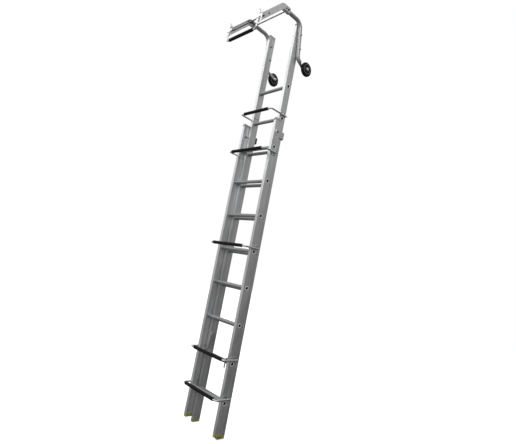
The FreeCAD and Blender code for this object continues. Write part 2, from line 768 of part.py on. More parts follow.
def hook_leg(name, side):
    """A pressed channel over the tube's end, open to the inside, and its bolted end plate."""
    metal = size("leg_metal")
    depth = size("leg_depth")
    outer_x = size("leg_outer")
    start = Vector(0, APEX_DEPTH + 18, APEX_HEIGHT)
    lead_end = Vector(0, APEX_DEPTH + 60, APEX_HEIGHT)
    past_end = LEG_END + (LEG_END - LEG_CORNER).normalize() * 30
    inside = leg_outline(metal, lead_end, past_end).extrude(Vector(depth, 0, 0))
    inside.translate(Vector(metal, 0, 0))
    channel = leg_outline(0, start, past_end).extrude(Vector(depth, 0, 0)).cut(inside)
    face_y = LEG_END.y - 3
    beyond = Part.makeBox(90, 60, 200, Vector(-30, face_y - 60, LEG_END.z - 100))
    nut_room = Part.makeBox(18.5, 12, 120, Vector(metal + 0.2, LEG_END.y, LEG_END.z - 60))
    plate = Part.makeBox(51, 3, 82, Vector(0, face_y, LEG_END.z - 33.5))
    solid = channel.cut([beyond, nut_room]).fuse(plate)
    along_x = Vector(1, 0, 0)
    holes = []
    for radius, y, z in (("cross_rod", APEX_DEPTH, APEX_HEIGHT),
                         ("large_bolt", APEX_BOLT_DEPTH, APEX_HEIGHT),
                         ("large_bolt", LEG_BOLT.y, LEG_BOLT.z),
                         ("cross_rod", LEG_ROD.y, LEG_ROD.z)):
        holes.append(Part.makeCylinder(size(radius), 20, Vector(-10, y, z), along_x))
    for height in HOOK_CLIP_BOLTS:
        for sideways in HOOK_CLIP_SPREAD:
            spot = Vector(outer_x - size(HOOK_ARM_X) + sideways, face_y - 10, height)
            holes.append(Part.makeCylinder(size("small_bolt"), 20, spot, Vector(0, 1, 0)))
    solid = solid.cut(holes)
    if side > 0:
        solid = solid.mirror(Vector(0, 0, 0), Vector(1, 0, 0))
    leg = DOC.addObject("Part::Feature", name)
    leg.Shape = solid
    leg.Placement = Placement(Vector(side * outer_x, 0, 0), Rotation())
    return node(leg, name)


def hook_clip(side):
    """A double-flanged saddle that clamps an arm of the hook's bar to the leg's end plate."""
    arm_x = f"{side} * {HOOK_ARM_X}"
    face_y = str(LEG_END.y - 3)
    reach = "(rod_radius + rod_gap)"
    outer = f"({reach} + clip_metal)"
    low = "2744"
    tall = "52"
    strap = cylinder(outer, tall, arm_x, HOOK_BAR_DEPTH, low, ALONG_Z)
    cheeks = box(f"2 * {outer}", reach, tall, f"{arm_x} - {outer}", HOOK_BAR_DEPTH, low)
    flange = box("44", "clip_metal", tall, f"{arm_x} - 22", f"{face_y} - clip_metal", low)
    channel = cylinder(reach, "60", arm_x, HOOK_BAR_DEPTH, "2742", ALONG_Z)
    slot = box(f"2 * {reach}", f"{reach} + 1", "60", f"{arm_x} - {reach}", HOOK_BAR_DEPTH, "2742")
    behind = box("60", "20", "60", f"{arm_x} - 30", face_y, "2742")
    holes = []
    for height in HOOK_CLIP_BOLTS:
        for sideways in HOOK_CLIP_SPREAD:
            holes.append(cylinder("small_bolt", "40", f"{arm_x} + {sideways}",
                                  f"{face_y} - 20", str(height), ALONG_Y))
    return cut(fuse([strap, cheeks, flange]), fuse([channel, slot, behind] + holes))


def cross_bolt(x, height):
    """A small bolt along +Y through the clip's flange and the end plate."""
    face_y = LEG_END.y - 3 - size("clip_metal")
    grip = 3 + size("clip_metal")
    head = hexagon("small_bolt * 1.9", "small_bolt * 1.3", x,
                   f"{face_y} - small_bolt * 1.3", height, ALONG_Y)
    shank = cylinder("small_bolt", f"{grip} + 6", x, str(face_y), height, ALONG_Y)
    nut = hexagon("small_bolt * 1.9", "small_bolt * 1.5", x, str(face_y + grip), height, ALONG_Y)
    thread_hole = cylinder("small_bolt", "20", x, str(face_y), height, ALONG_Y)
    return [fuse([head, shank]), cut(nut, thread_hole)]


def make_cross_rods():
    """Two threaded rods that tie the hook's halves together, with a nut at every end."""
    half = "(leg_outer + 9)"
    rods = []
    for y, z in ((str(APEX_DEPTH), str(APEX_HEIGHT)), (str(LEG_ROD.y), str(LEG_ROD.z))):
        rods.append(cylinder("cross_rod", f"2 * {half}", f"-{half}", y, z))
        for side in SIDES.values():
            start = f"({half} - 9)" if side > 0 else f"-({half} - 9) - 6.5"
            nut = hexagon("8", "6.5", start, y, z)
            thread_hole = cylinder("cross_rod", "20", f"{start} - 5", y, z)
            rods.append(cut(nut, thread_hole))
    node(group(rods), "hook_cross_rods")


def make_hook():
    clips = []
    for label, side in SIDES.items():
        hook_tube(f"hook_tube_{label}", side)
        hook_leg(f"hook_leg_{label}", side)
        clips.append(hook_clip(side))
    node(group(clips), "hook_bar_clips")
    make_cross_rods()
    hanging_bar("hook_bar")
    sleeve("hook_bar_sleeve", "hook_sleeve_length", "0", HOOK_BAR_DEPTH, HOOK_BAR_HEIGHT)


def fly_bar_and_hook_bolts():
    """The bolts of the fly bar, the hook tubes, the hook legs and the hook's bar."""
    bolts = []
    tube_out = "(fly_width / 2 + 2 * tube_radius + 0.2)"
    for side in SIDES.values():
        for depth in FLY_CLIP_DEPTHS:
            bolts += bolt_and_nut("small_bolt", f"{side} * ({FLY_OUTER} + clip_metal)",
                                  "stile_across + clip_metal", -side, depth,
                                  f"{FLY_BAR_HEIGHT} + clip_bolt_rise")
        for height in TUBE_BOLT_HEIGHTS:
            point = tube_point(height)
            bolts += bolt_and_nut("large_bolt", f"{side} * {tube_out}",
                                  "stile_across + 2 * tube_radius + 0.2", -side,
                                  str(point.y), str(point.z))
        bolts += bolt_and_nut("large_bolt", f"{side} * leg_outer",
                              f"leg_outer - {FLY_OUTER} - 0.2", -side, str(APEX_BOLT_DEPTH),
                              str(APEX_HEIGHT))
        bolts += bolt_and_nut("large_bolt", f"{side} * leg_outer", "leg_metal",
                              -side, str(LEG_BOLT.y), str(LEG_BOLT.z))
        for height in HOOK_CLIP_BOLTS:
            for sideways in HOOK_CLIP_SPREAD:
                bolts += cross_bolt(f"{side} * {HOOK_ARM_X} + {sideways}", str(height))
    return bolts


# ---------------------------------------------------------------- roof wheels

WHEEL_INNER = "(fly_width / 2 + 0.4 + arm_flat + 1.5)"


def turned_piece(name, side, corners):
    """A ring turned about the wheel's axle; corners run along X, outwards, and in radius."""
    body = new_body(name)
    section = new_sketch(body, "XY_Plane")
    outline(section, [(f"{side} * ({x})", radius) for x, radius in corners])
    revolve(body, section)
    place(body, f"{side} * {WHEEL_INNER}", str(WHEEL_DEPTH), str(WHEEL_HEIGHT))
    return node(body, name)


def make_wheels():
    across = "wheel_across"
    rim = "rim_radius"
    tyre = [("1", rim), (f"{across} - 1", rim), (f"{across} - 1", f"{rim} + 5"),
            (f"{across} - 3", "wheel_radius - 4"), (f"{across} - 7", "wheel_radius - 0.8"),
            (f"{across} / 2", "wheel_radius"), ("7", "wheel_radius - 0.8"),
            ("3", "wheel_radius - 4"), ("1", f"{rim} + 5")]
    bore = "axle_radius + axle_play"
    hub = [("0", bore), ("0", "15"), ("8", "17"), ("8", "30"), ("2", "33"), ("2", rim),
           (f"{across} - 2", rim), (f"{across} - 2", "33"), (f"{across} - 8", "30"),
           (f"{across} - 8", "17"), (across, "15"), (across, bore)]
    axles = []
    for label, side in SIDES.items():
        turned_piece(f"wheel_tyre_{label}", side, tyre)
        turned_piece(f"wheel_hub_{label}", side, hub)
        axles += bolt_and_nut("axle_radius", f"{side} * ({WHEEL_INNER} + wheel_across + 1)",
                              "wheel_across + 1 + 1.5 + arm_flat", -side,
                              str(WHEEL_DEPTH), str(WHEEL_HEIGHT))
    node(group(axles), "wheel_axles")


# ---------------------------------------------------------------- rung hooks

def rung_hook(name, side):
    """A flat hook bolted inside the fly stile, sitting over a rung of the base section."""
    seat = "rung_radius + seat_play"
    corners = [("-hook_front", f"{HOOKED_RUNG} - 36"), (f"-({seat}) - 0.5", f"{HOOKED_RUNG} - 40"),
               (f"-({seat}) - 0.5", HOOKED_RUNG), ("0", HOOKED_RUNG), ("6", f"{HOOKED_RUNG} + 12"),
               ("15", f"{HOOKED_RUNG} + 12"), ("34", f"{HOOKED_RUNG} + 24"),
               ("fly_shift + 20", f"{HOOKED_RUNG} + 34"), ("fly_shift + 20", f"{HOOKED_RUNG} + 124"),
               ("fly_shift + 12", f"{HOOKED_RUNG} + 132"), ("fly_shift - 16", f"{HOOKED_RUNG} + 132"),
               ("fly_shift - 22", f"{HOOKED_RUNG} + 120"), ("15.5", f"{HOOKED_RUNG} + 27"),
               ("-14", f"{HOOKED_RUNG} + 27"), ("-hook_front", f"{HOOKED_RUNG} + 20")]
    body = new_body(name)
    blade = new_sketch(body, "YZ_Plane")
    outline(blade, corners)
    pad(body, blade, "hook_metal", midplane=True)
    seat_cut = new_sketch(body, "YZ_Plane")
    circle(seat_cut, "0", HOOKED_RUNG, seat)
    pocket_through(body, seat_cut)
    holes = new_sketch(body, "YZ_Plane")
    for depth, height in HOOK_PLATE_BOLTS:
        circle(holes, depth, height, "small_bolt")
    pocket_through(body, holes)
    place(body, f"{side} * ({FLY_INNER} - hook_metal / 2)", "0", "0")
    return node(body, name)


def make_rung_hooks():
    """The two rung hooks; their bolts are handed back."""
    bolts = []
    for label, side in SIDES.items():
        rung_hook(f"rung_hook_{label}", side)
        for depth, height in HOOK_PLATE_BOLTS:
            bolts += bolt_and_nut("small_bolt", f"{side} * ({FLY_INNER} - hook_metal)",
                                  "stile_across + hook_metal", side, depth, height)
    return bolts


# ---------------------------------------------------------------- build, check and write

def check_and_write():
    DOC.recompute()
    failed = [item.Label for item in DOC.Objects
              if "Invalid" in item.State or "Error" in item.State]
    if failed:
        raise RuntimeError(f"failed features: {failed}")
    os.makedirs("parts", exist_ok=True)
    for part in NODES:
        shape = part.Shape
        if shape.isNull() or not shape.isValid() or not shape.Solids:
            raise RuntimeError(f"{part.Label}: no valid solid")
        shape.exportStep(f"parts/{part.Label}.step")
        print(f"{part.Label}: {len(shape.Solids)} solids, {shape.Volume / 1000:.1f} cm3")
    print(f"{len(NODES)} sub-parts")


make_stiles()
make_plugs()
make_rungs()
make_fly_bar()
make_hook()
make_wheels()
node(group(make_base_bars() + make_guides()), "base_bolts")
node(group(fly_bar_and_hook_bolts() + make_rung_hooks()), "fly_bolts")
check_and_write()
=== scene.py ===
"""Looks of the push-up roof ladder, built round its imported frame. Metres, in the row's frame."""
import bmesh
import bpy
import json
import math
from mathutils import Euler, Matrix, Vector


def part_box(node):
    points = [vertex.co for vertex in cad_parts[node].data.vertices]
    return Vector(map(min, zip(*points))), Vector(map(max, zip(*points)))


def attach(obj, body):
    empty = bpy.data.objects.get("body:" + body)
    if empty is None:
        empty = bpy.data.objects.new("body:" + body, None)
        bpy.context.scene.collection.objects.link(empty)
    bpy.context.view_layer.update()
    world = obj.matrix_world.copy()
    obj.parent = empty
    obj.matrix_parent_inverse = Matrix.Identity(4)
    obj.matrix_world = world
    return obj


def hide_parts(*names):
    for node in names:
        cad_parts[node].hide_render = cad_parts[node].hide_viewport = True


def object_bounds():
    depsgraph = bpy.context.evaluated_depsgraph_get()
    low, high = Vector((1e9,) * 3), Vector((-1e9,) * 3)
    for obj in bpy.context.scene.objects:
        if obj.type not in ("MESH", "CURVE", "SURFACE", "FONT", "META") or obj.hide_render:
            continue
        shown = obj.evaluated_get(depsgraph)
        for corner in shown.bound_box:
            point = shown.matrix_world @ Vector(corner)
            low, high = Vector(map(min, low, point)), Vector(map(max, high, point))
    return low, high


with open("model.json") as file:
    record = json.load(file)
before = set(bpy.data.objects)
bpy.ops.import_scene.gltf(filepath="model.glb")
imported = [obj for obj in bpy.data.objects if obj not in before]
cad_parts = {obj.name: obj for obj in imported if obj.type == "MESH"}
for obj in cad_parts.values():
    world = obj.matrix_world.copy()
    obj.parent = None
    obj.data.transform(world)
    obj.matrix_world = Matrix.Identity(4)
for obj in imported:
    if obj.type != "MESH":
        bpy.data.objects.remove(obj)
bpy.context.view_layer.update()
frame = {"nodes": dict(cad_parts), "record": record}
scene = bpy.context.scene
NODES = frame["nodes"]
MM = 0.001
MICRON = 1e-6
TURN = 2 * math.pi
SIDES = {"left": -1, "right": 1}


# ---------------------------------------------------------------- materials

class Shader:
    """A Principled material under construction, with short names for its node wiring."""

    def __init__(self, name, **sockets):
        self.material = bpy.data.materials.new(name)
        self.material.use_nodes = True
        self.tree = self.material.node_tree
        self.principled = self.tree.nodes["Principled BSDF"]
        self.coords = self.node("ShaderNodeTexCoord").outputs["Object"]
        for socket, value in sockets.items():
            self.principled.inputs[socket.replace("_", " ")].default_value = value

    def node(self, kind, **settings):
        made = self.tree.nodes.new(kind)
        for key, value in settings.items():
            if hasattr(made, key):
                setattr(made, key, value)
            else:
                made.inputs[key.replace("_", " ")].default_value = value
        return made

    def link(self, output, node, socket):
        self.tree.links.new(output, node.inputs[socket])

    def noise(self, stretch, detail, roughness=0.55, distortion=0.0):
        """Noise whose grain is stretched along the axes; stretch is cycles per metre on X, Y, Z."""
        mapping = self.node("ShaderNodeMapping")
        mapping.inputs["Scale"].default_value = stretch
        self.link(self.coords, mapping, "Vector")
        noise = self.node("ShaderNodeTexNoise", Scale=1.0, Detail=detail, Roughness=roughness,
                          Distortion=distortion)
        self.link(mapping.outputs["Vector"], noise, "Vector")
        return noise.outputs["Fac"]

    def ramp(self, value, stops):
        """A colour ramp; stops are (position, grey or colour)."""
        ramp = self.node("ShaderNodeValToRGB")
        self.link(value, ramp, "Fac")
        elements = ramp.color_ramp.elements
        while len(elements) < len(stops):
            elements.new(0.5)
        for element, (position, colour) in zip(elements, stops):
            element.position = position
            grey = (colour,) * 3 if isinstance(colour, (int, float)) else colour
            element.color = (*grey, 1.0)
        return ramp.outputs["Color"]

    def mix(self, first, second, factor, mode="MIX"):
        """Two colours mixed; each may be an output or a colour, factor an output or a number."""
        mix = self.node("ShaderNodeMix", data_type="RGBA", blend_type=mode)
        for value, index in ((factor, 0), (first, 6), (second, 7)):
            if isinstance(value, bpy.types.NodeSocket):
                self.tree.links.new(value, mix.inputs[index])
            elif index:
                mix.inputs[index].default_value = (*value, 1.0)
            else:
                mix.inputs[0].default_value = value
        return mix.outputs[2]

    def bump(self, height, strength, distance):
        """Adds a bump on top of the bumps already made."""
        bump = self.node("ShaderNodeBump", Strength=strength, Distance=distance)
        self.link(height, bump, "Height")
        normal = self.principled.inputs["Normal"]
        if normal.is_linked:
            self.tree.links.new(normal.links[0].from_socket, bump.inputs["Normal"])
        self.tree.links.new(bump.outputs["Normal"], normal)

    def set(self, socket, value):
        self.tree.links.new(value, self.principled.inputs[socket])


def aluminium(name, light, dark, grain, rough=(0.30, 0.46), stains=0.25, metallic=1.0):
    """Mill-finished aluminium: fine drawing lines along the grain, soft stains and faint scuffs."""
    shader = Shader(name, Metallic=metallic)
    lines_per_streak = 6
    lines = shader.noise([g * lines_per_streak for g in grain], detail=6.0, roughness=0.7)
    streaks = shader.noise(grain, detail=3.0)
    patches = shader.noise((7.0, 7.0, 3.0), detail=5.0, roughness=0.6, distortion=0.6)
    scuffs = shader.noise((150.0, 150.0, 60.0), detail=8.0, roughness=0.72)
    tone = shader.ramp(streaks, [(0.30, dark), (0.70, light)])
    worn = shader.ramp(patches, [(0.38, [c * 0.86 for c in dark]), (0.62, light)])
    colour = shader.mix(tone, worn, stains)
    colour = shader.mix(colour, shader.ramp(lines, [(0.36, 0.80), (0.64, 1.0)]), 0.75, "MULTIPLY")
    specks = shader.ramp(scuffs, [(0.66, 0.0), (0.74, 1.0)])
    colour = shader.mix(colour, [min(1.0, c * 1.08) for c in light], specks)
    shader.set("Base Color", colour)
    shader.set("Roughness", shader.ramp(shader.mix(lines, patches, 0.5),
                                        [(0.35, rough[0]), (0.65, rough[1])]))
    shader.bump(lines, 0.10, 0.00025)
    shader.bump(scuffs, 0.05, 0.0003)
    return shader.material


def zinc(name, light, dark):
    """Bright zinc plate: cloudy blue-grey bloom with dull spots."""
    shader = Shader(name, Metallic=1.0)
    bloom = shader.noise((38.0, 38.0, 38.0), detail=5.0, roughness=0.6, distortion=1.2)
    spots = shader.noise((420.0, 420.0, 420.0), detail=3.0)
    shader.set("Base Color", shader.mix(shader.ramp(bloom, [(0.32, dark), (0.68, light)]), dark,
                                        shader.ramp(spots, [(0.62, 0.0), (0.78, 0.6)])))
    shader.set("Roughness", shader.ramp(bloom, [(0.30, 0.26), (0.70, 0.44)]))
    shader.bump(spots, 0.08, 0.0003)
    return shader.material


def rubber(name, colour, dust):
    """Matt black rubber: fine moulded grain with grey dust in the grain."""
    shader = Shader(name, Specular_IOR_Level=0.16)
    grain = shader.noise((900.0, 900.0, 900.0), detail=3.0)
    patches = shader.noise((22.0, 22.0, 22.0), detail=6.0, roughness=0.65, distortion=0.8)
    shader.set("Base Color", shader.mix(colour, dust, shader.ramp(patches, [(0.45, 0.0), (0.80, 0.5)])))
    shader.set("Roughness", shader.ramp(patches, [(0.30, 0.52), (0.70, 0.74)]))
    shader.bump(grain, 0.22, 0.0004)
    return shader.material


def plastic(name, colour, shade):
    """Moulded plastic: spark-eroded grain, faint flow clouds and rubbed patches."""
    shader = Shader(name, Specular_IOR_Level=0.5)
    grain = shader.noise((700.0, 700.0, 700.0), detail=2.0)
    clouds = shader.noise((26.0, 26.0, 26.0), detail=5.0, roughness=0.6, distortion=0.9)
    shader.set("Base Color", shader.ramp(clouds, [(0.34, shade), (0.66, colour)]))
    shader.set("Roughness", shader.ramp(clouds, [(0.30, 0.36), (0.70, 0.52)]))
    shader.bump(grain, 0.16, 0.0003)
    return shader.material


STILE = aluminium("stile_aluminium", (0.90, 0.905, 0.91), (0.60, 0.605, 0.615), (60.0, 60.0, 0.9),
                  stains=0.35, metallic=0.8)
RUNG = aluminium("rung_aluminium", (0.44, 0.445, 0.45), (0.34, 0.345, 0.35), (1.2, 70.0, 70.0),
                 rough=(0.40, 0.56))
# The swaged flares are near-white and barely metallic: a painted highlight standing in for the sheen of
# a polished flare.
FLARE_PAINTED_SHEEN = aluminium("flare_painted_sheen", (0.98, 0.98, 0.985), (0.92, 0.925, 0.93), (30.0, 30.0, 30.0),
                  rough=(0.18, 0.28), stains=0.1, metallic=0.1)
TUBE = aluminium("tube_aluminium", (0.66, 0.66, 0.665), (0.52, 0.525, 0.53), (60.0, 4.0, 4.0),
                 rough=(0.50, 0.66))
LEG = aluminium("leg_aluminium", (0.84, 0.84, 0.845), (0.72, 0.725, 0.73), (60.0, 5.0, 5.0))
PLATE = aluminium("plate_aluminium", (0.74, 0.745, 0.75), (0.60, 0.605, 0.61), (30.0, 30.0, 30.0))
# The rung bores are near-black: painted shade inside the hollow tube ends.
BORE_PAINTED_SHADE = aluminium("bore_painted_shade", (0.10, 0.10, 0.105), (0.05, 0.05, 0.055), (2.0, 40.0, 40.0),
                 rough=(0.55, 0.75))
ROD = zinc("rod_zinc", (0.66, 0.665, 0.675), (0.50, 0.51, 0.52))
CLIP = zinc("clip_zinc", (0.74, 0.745, 0.755), (0.58, 0.59, 0.60))
HOOK_CLIP = zinc("hook_clip_zinc", (0.84, 0.84, 0.85), (0.70, 0.705, 0.71))
AXLE = zinc("axle_zinc", (0.96, 0.96, 0.965), (0.84, 0.845, 0.85))
BOLT = zinc("bolt_zinc", (0.52, 0.52, 0.53), (0.34, 0.345, 0.355))
STUD = zinc("stud_zinc", (0.34, 0.34, 0.345), (0.22, 0.22, 0.225))
SLEEVE = rubber("sleeve_rubber", (0.006, 0.006, 0.0065), (0.022, 0.022, 0.022))
TYRE = rubber("tyre_rubber", (0.010, 0.009, 0.012), (0.030, 0.027, 0.032))
HUB = plastic("hub_nylon", (0.036, 0.033, 0.040), (0.020, 0.018, 0.023))
RIM = plastic("rim_nylon", (0.17, 0.165, 0.175), (0.12, 0.115, 0.125))
PAD = plastic("pad_nylon", (0.040, 0.040, 0.044), (0.024, 0.024, 0.027))
FOOT_PLUG = plastic("foot_plastic", (0.44, 0.44, 0.12), (0.32, 0.32, 0.09))
CAP_PLUG = plastic("cap_plastic", (0.55, 0.55, 0.49), (0.45, 0.45, 0.40))


# ---------------------------------------------------------------- meshes

class Shape:
    """Vertices and faces gathered for one piece, in metres."""

    def __init__(self):
        self.verts = []
        self.faces = []
        self.slots = []

    def rings(self, rings, matrix, close=False, slot=0, closing_slot=None):
        """Skins rings of equally many points. close joins the last ring to the first, with its
        faces in closing_slot if that is given. Without close both ends are capped."""
        start = len(self.verts)
        count = len(rings[0])
        faces = []
        last = len(rings) if close else len(rings) - 1
        for i in range(last):
            here = i * count
            there = (i + 1) % len(rings) * count
            for j in range(count):
                k = (j + 1) % count
                faces.append((here + j, here + k, there + k, there + j))
        if not close:
            faces.append(tuple(reversed(range(count))))
            faces.append(tuple(range((len(rings) - 1) * count, len(rings) * count)))
        self.verts += [tuple(matrix @ Vector(point)) for ring in rings for point in ring]
        self.faces += [tuple(start + i for i in face) for face in faces]
        self.slots += [slot] * len(faces)
        if closing_slot is not None:
            self.slots[-count:] = [closing_slot] * count

    def lathe(self, profile, steps, matrix, slot=0, wobble=None, closing_slot=None):
        """Turns a closed profile of (along, radius) about the X axis. wobble(along, angle, radius)
        gives the radius at an angle."""
        rings = []
        for along, radius in profile:
            ring = []
            for step in range(steps):
                angle = TURN * step / steps
                r = wobble(along, angle, radius) if wobble else radius
                ring.append((along, r * math.cos(angle), r * math.sin(angle)))
            rings.append(ring)
        self.rings(rings, matrix, close=True, slot=slot, closing_slot=closing_slot)

    def build(self, name, body, materials, replaced, bevel=0.0, sharp=32.0):
        """Makes the object, gives it its materials and hangs it on its body."""
        mesh = bpy.data.meshes.new(name)
        mesh.from_pydata(self.verts, [], self.faces)
        mesh.update()
        piece = bpy.data.objects.new(name, mesh)
        scene.collection.objects.link(piece)
        for material in materials:
            mesh.materials.append(material)
        mesh.polygons.foreach_set("material_index", self.slots)
        mesh.polygons.foreach_set("use_smooth", [True] * len(mesh.polygons))
        mesh.set_sharp_from_angle(angle=math.radians(sharp))
        if bevel:
            add_bevel(piece, bevel)
        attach(piece, body)
        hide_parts(*replaced)
        return piece


def add_bevel(piece, width):
    """Rounds the edges that turn by more than 40 degrees."""
    bevel = piece.modifiers.new("rounded_edges", "BEVEL")
    bevel.width = width
    bevel.segments = 2
    bevel.limit_method = "ANGLE"
    bevel.angle_limit = math.radians(40.0)


def centre(node):
    low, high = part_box(node)
    return (Vector(low) + Vector(high)) / 2


def facing(direction, at):
    """Turns +X to a direction and moves the origin to a point."""
    turn = Vector(direction).to_track_quat("X", "Z").to_matrix().to_4x4()
    return Matrix.Translation(at) @ turn


def solids(node):
    """The separate solids of a CAD node, each as a list of its points."""
    mesh = NODES[node].data
    keys = {}
    merged = []
    for vertex in mesh.vertices:
        key = tuple(round(c / MICRON) for c in vertex.co)
        merged.append(keys.setdefault(key, len(keys)))
    parent = list(range(len(keys)))

    def root(i):
        while parent[i] != i:
            parent[i] = parent[parent[i]]
            i = parent[i]
        return i

    for polygon in mesh.polygons:
        first, *others = [merged[i] for i in polygon.vertices]
        for other in others:
            parent[root(other)] = root(first)
    groups = {}
    for key, index in keys.items():
        groups.setdefault(root(index), []).append(Vector(key) * MICRON)
    return list(groups.values())


def limits(points):
    low = Vector(min(p[i] for p in points) for i in range(3))
    high = Vector(max(p[i] for p in points) for i in range(3))
    return low, high


# ---------------------------------------------------------------- fasteners

def hexagon(radius, x0, x1, chamfer0, chamfer1):
    """A hexagonal block along X whose ends are turned down by a chamfer. radius is to a corner."""
    steps = 24
    side = math.pi / 3
    flats = radius * math.cos(side / 2)
    turned_down = flats * 0.95

    def ring(x, limit):
        points = []
        for step in range(steps):
            angle = TURN * step / steps
            corner = math.cos(side / 2) / math.cos((angle % side) - side / 2)
            reach = min(radius * corner, limit)
            points.append((x, reach * math.cos(angle), reach * math.sin(angle)))
        return points

    rings = []
    if chamfer0:
        rings += [ring(x0, turned_down), ring(x0 + chamfer0, radius)]
    else:
        rings.append(ring(x0, radius))
    if chamfer1:
        rings += [ring(x1 - chamfer1, radius), ring(x1, turned_down)]
    else:
        rings.append(ring(x1, radius))
    return rings


def circle(x, radius, steps):
    """A ring of points about the X axis."""
    angles = [TURN * step / steps for step in range(steps)]
    return [(x, radius * math.cos(angle), radius * math.sin(angle)) for angle in angles]


def thread(radius, x0, x1, share=0.36):
    """A screw thread from x0 to x1, ending in a small point. share is its pitch by the radius."""
    steps = 16
    rings_per_pitch = 4
    pitch = radius * share
    depth = pitch * 0.5
    point_radius = radius * 0.78
    count = max(6, int((x1 - x0) / pitch * rings_per_pitch))
    rings = []
    for i in range(count + 1):
        x = x0 + (x1 - x0) * i / count
        ring = []
        for step in range(steps):
            turn = step / steps
            phase = (x / pitch + turn) % 1.0
            r = radius - depth * abs(2 * phase - 1)
            if i == count:
                r = point_radius
            angle = TURN * turn
            ring.append((x, r * math.cos(angle), r * math.sin(angle)))
        rings.append(ring)
    return rings


def add_bolt(shape, points):
    """A flanged hexagon bolt in place of a plain one: its solid's points say where."""
    end_face = 0.01 * MM
    low, high = limits(points)
    size = high - low
    axis = max(range(3), key=lambda i: size[i])
    middle = (low + high) / 2
    others = [i for i in range(3) if i != axis]

    def width(at):
        return max(math.hypot(*(p[i] - middle[i] for i in others)) for p in points
                   if abs(p[axis] - at) < end_face)

    head_first = width(low[axis]) > width(high[axis])
    head_radius = max(width(low[axis]), width(high[axis]))
    radius = min(width(low[axis]), width(high[axis]))
    sign = 1 if head_first else -1
    head_height = radius * 1.3
    start = middle.copy()
    start[axis] = (low[axis] if head_first else high[axis]) + sign * head_height
    direction = Vector((0, 0, 0))
    direction[axis] = sign
    matrix = facing(direction, start)
    length = size[axis] - head_height
    washer = radius * 0.32
    flange = head_radius * 1.16
    threaded = radius * 4.2
    plain = length - threaded
    shape.rings(hexagon(head_radius, -head_height, -washer * 0.8, radius * 0.28, 0.0), matrix)
    shape.lathe([(-washer, radius * 0.6), (-washer, flange * 0.96), (-washer * 0.6, flange),
                 (-washer * 0.1, flange), (0.0, flange * 0.97), (0.0, radius * 0.6)], 28, matrix)
    shape.rings(thread(radius, max(0.0, plain), length), matrix)
    if plain > 0:
        shank = radius * 0.94
        shape.rings([circle(x, shank, 16) for x in (-washer * 0.5, plain)], matrix)


def add_nut(shape, points, bolts):
    """A locking nut: chamfered flats towards the work and a round collar away from it."""
    low, high = limits(points)
    size = high - low
    middle = (low + high) / 2
    radius = max(size) / 2
    axis = min(range(3), key=lambda i: size[i])
    nearest = min(bolts, key=lambda b: (b - middle).length)
    direction = Vector((0, 0, 0))
    direction[axis] = 1 if middle[axis] > nearest[axis] else -1
    start = middle.copy()
    start[axis] = (low if direction[axis] > 0 else high)[axis]
    matrix = facing(direction, start)
    length = size[axis]
    hexed = length * 0.72
    shape.rings(hexagon(radius, length * 0.10, hexed, 0.0, length * 0.12), matrix)
    bore = radius / 1.9 * 0.98
    collar = hexed - 0.2 * MM
    shape.lathe([(collar, bore), (collar, radius * 0.80), (length * 0.92, radius * 0.76),
                 (length, radius * 0.68), (length, bore)], 24, matrix)
    shape.lathe([(0.0, bore), (0.0, radius * 1.18), (length * 0.13, radius * 1.16),
                 (length * 0.13, bore)], 24, matrix)


def make_fasteners(node, body, name, material):
    """Every bolt and nut of a node. A nut is the flat one of the two: thin, and round or nearly so."""
    shape = Shape()
    bolts = []
    nuts = []
    for points in solids(node):
        low, high = limits(points)
        thin, broad, long = sorted(high - low)
        is_nut = thin < broad * 0.75 and broad > long * 0.8
        if is_nut:
            nuts.append(points)
        else:
            bolts.append(points)
    for points in bolts:
        add_bolt(shape, points)
    middles = [sum(limits(points), Vector()) / 2 for points in bolts]
    for points in nuts:
        add_nut(shape, points, middles)
    shape.build(name, body, [material], replaced=[node])


def make_cross_rods(node, body, name):
    """Studs threaded from end to end, with a chamfered nut and a washer at each end."""
    shortest_rod = 100 * MM
    washer = 0.9 * MM
    washer_edge = 0.8 * MM
    bore = 5.0 * MM
    inner_chamfer = 0.3 * MM
    outer_chamfer = 0.8 * MM
    shape = Shape()
    rods = []
    nuts = []
    for points in solids(node):
        low, high = limits(points)
        if high.x - low.x > shortest_rod:
            rods.append((low, high))
        else:
            nuts.append((low, high))
    for low, high in rods:
        middle = (low + high) / 2
        radius = (high.z - low.z) / 2
        shape.rings(thread(radius, low.x, high.x, 0.26), Matrix.Translation((0, middle.y, middle.z)))
    for low, high in nuts:
        side = 1 if low.x > 0 else -1
        face = low.x if side > 0 else high.x
        length = high.x - low.x
        matrix = facing((side, 0, 0), (face, (low.y + high.y) / 2, (low.z + high.z) / 2))
        radius = (high.y - low.y) / 2
        shape.rings(hexagon(radius, washer, length, inner_chamfer, outer_chamfer), matrix)
        shape.lathe([(0.0, bore), (0.0, radius * 1.28), (washer_edge, radius * 1.28),
                     (washer, radius * 1.22), (washer, bore)], 28, matrix)
    shape.build(name, body, [STUD], replaced=[node])


# ---------------------------------------------------------------- rungs

